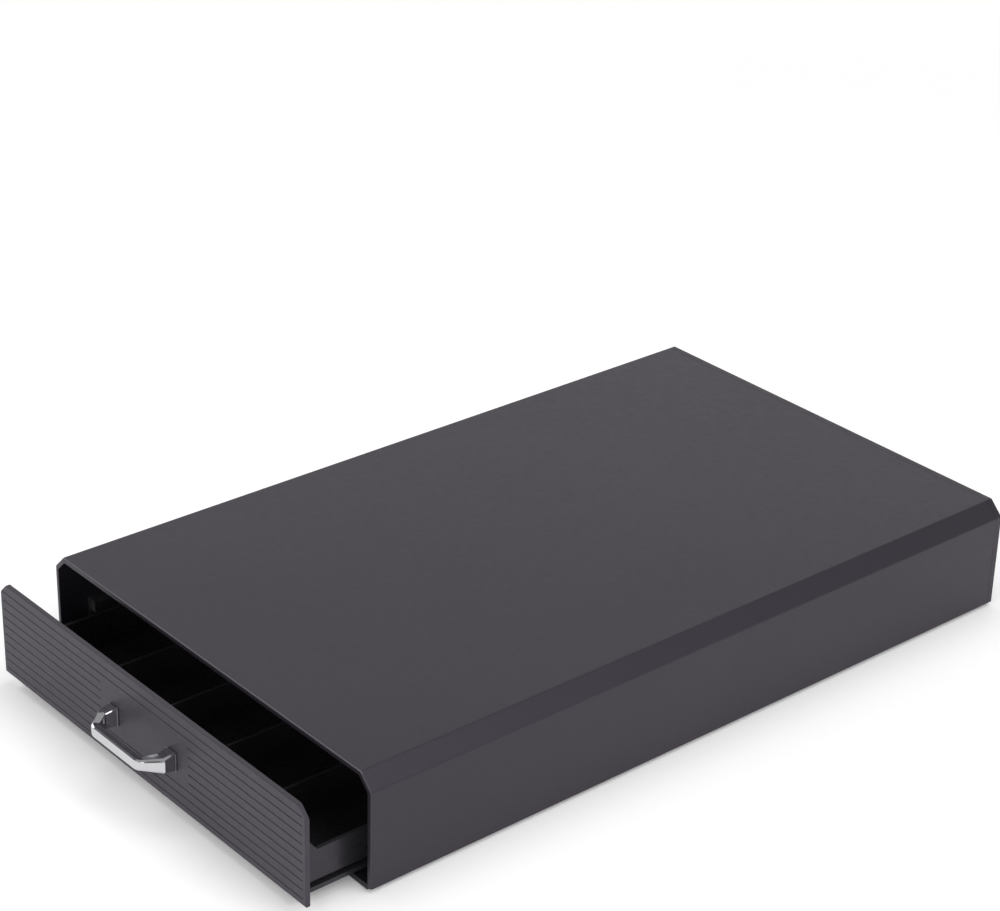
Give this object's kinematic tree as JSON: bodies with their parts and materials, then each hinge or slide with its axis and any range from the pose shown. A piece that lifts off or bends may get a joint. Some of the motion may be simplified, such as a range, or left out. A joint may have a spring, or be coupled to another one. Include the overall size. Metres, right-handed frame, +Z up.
{
  "type": "coffee pod drawer",
  "caption": "Low pull-out drawer for coffee capsules: folded housing with bevelled top edges, laned tray on side rails, grooved inset front and chrome bow handle.",
  "frame": {"origin": "on the floor under the middle of the whole part, with the drawer in the slightly open pose of the picture", "axes": "+X to the right of someone facing the front, +Y from the front to the rear, +Z up"},
  "size_m": [0.22, 0.4, 0.0521],
  "materials": {
    "housing_paint": "satin charcoal powder coat",
    "panel_paint": "satin charcoal powder coat with fine grooves",
    "base_paint": "matt charcoal powder coat",
    "cap_plastic": "fine matt grain",
    "tray_plastic": "fine matt grain",
    "divider_plastic": "smooth matt",
    "rail_aluminium": "mill finish, drawn along its length",
    "stop_nylon": "moulded nylon",
    "rubber": "matt black",
    "screw_steel": "zinc plated",
    "handle_chrome": "polished"
  },
  "bodies": {
    "housing": {"housing_shell": "housing_paint", "base_plate": "base_paint", "rear_cap": "cap_plastic", "guide_rail_left": "rail_aluminium", "guide_rail_right": "rail_aluminium", "stop_block_left": "stop_nylon", "stop_block_right": "stop_nylon", "buffer_left": "rubber", "buffer_right": "rubber", "foot_front_left": "rubber", "foot_front_right": "rubber", "foot_rear_left": "rubber", "foot_rear_right": "rubber", "base_screws": "screw_steel", "rear_cap_screws": "screw_steel", "stop_screws": "screw_steel"},
    "drawer": {"drawer_tray": "tray_plastic", "front_panel": "panel_paint", "panel_nuts": "screw_steel", "handle": "handle_chrome", "handle_screws": "screw_steel", "lane_divider_1": "divider_plastic", "lane_divider_2": "divider_plastic", "lane_divider_3": "divider_plastic", "lane_divider_4": "divider_plastic"}
  },
  "joints": [
    {"name": "drawer_slide", "type": "slide", "parent": "housing", "child": "drawer", "axis": [0, -1, 0], "range_m": [-0.0285, 0.2595]}
  ]
}
